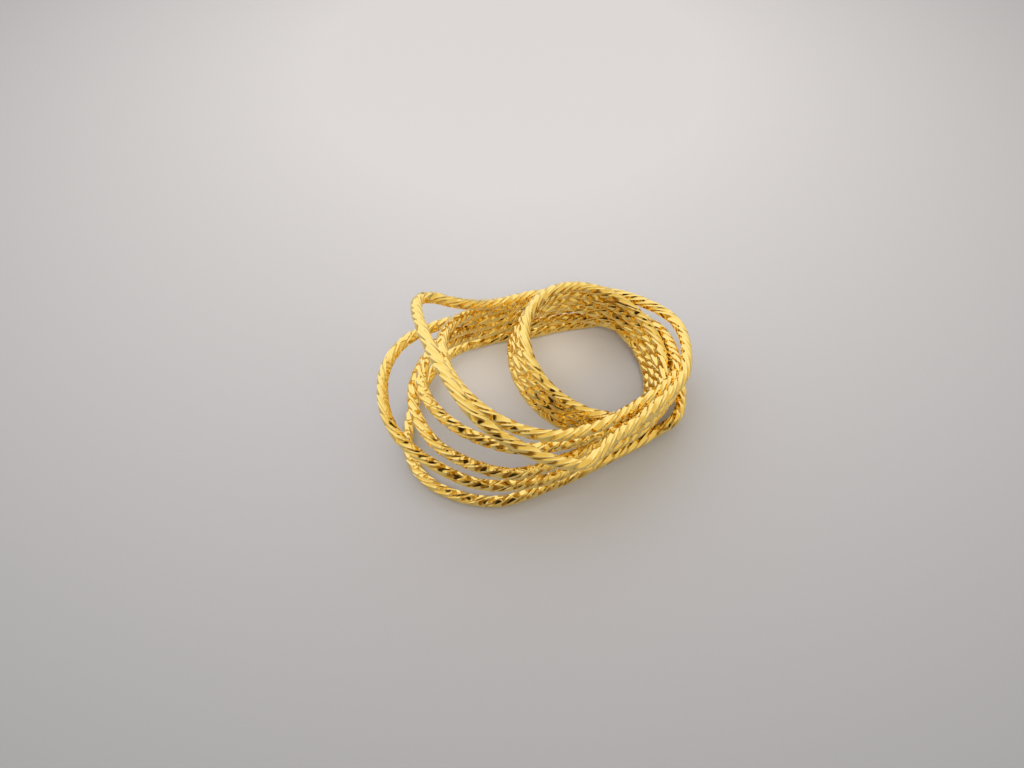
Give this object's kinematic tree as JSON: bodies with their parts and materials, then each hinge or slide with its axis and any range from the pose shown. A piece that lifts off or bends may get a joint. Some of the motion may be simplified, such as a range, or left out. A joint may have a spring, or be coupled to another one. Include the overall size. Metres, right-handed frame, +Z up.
{
  "type": "finger ring",
  "caption": "Finger ring of twisted gold wire: a round leaning band of soldered turns, with wide open loops that hug its outside and fan out to one side at different heights.",
  "frame": {"origin": "centre of the ring's box, on the surface that the ring lies on", "axes": "+X from the fan of loops towards the finger band, +Y away from the viewer of the picture, +Z up from the surface"},
  "size_m": [0.0364, 0.0313, 0.0168],
  "materials": {
    "gold_wire": "polished twisted yellow-gold wire with bright cut facets"
  },
  "bodies": {
    "root": {"finger_band": "gold_wire", "loop_high": "gold_wire", "loop_upper": "gold_wire", "loop_inner": "gold_wire", "loop_middle": "gold_wire", "loop_left": "gold_wire", "loop_low": "gold_wire"}
  },
  "joints": []
}
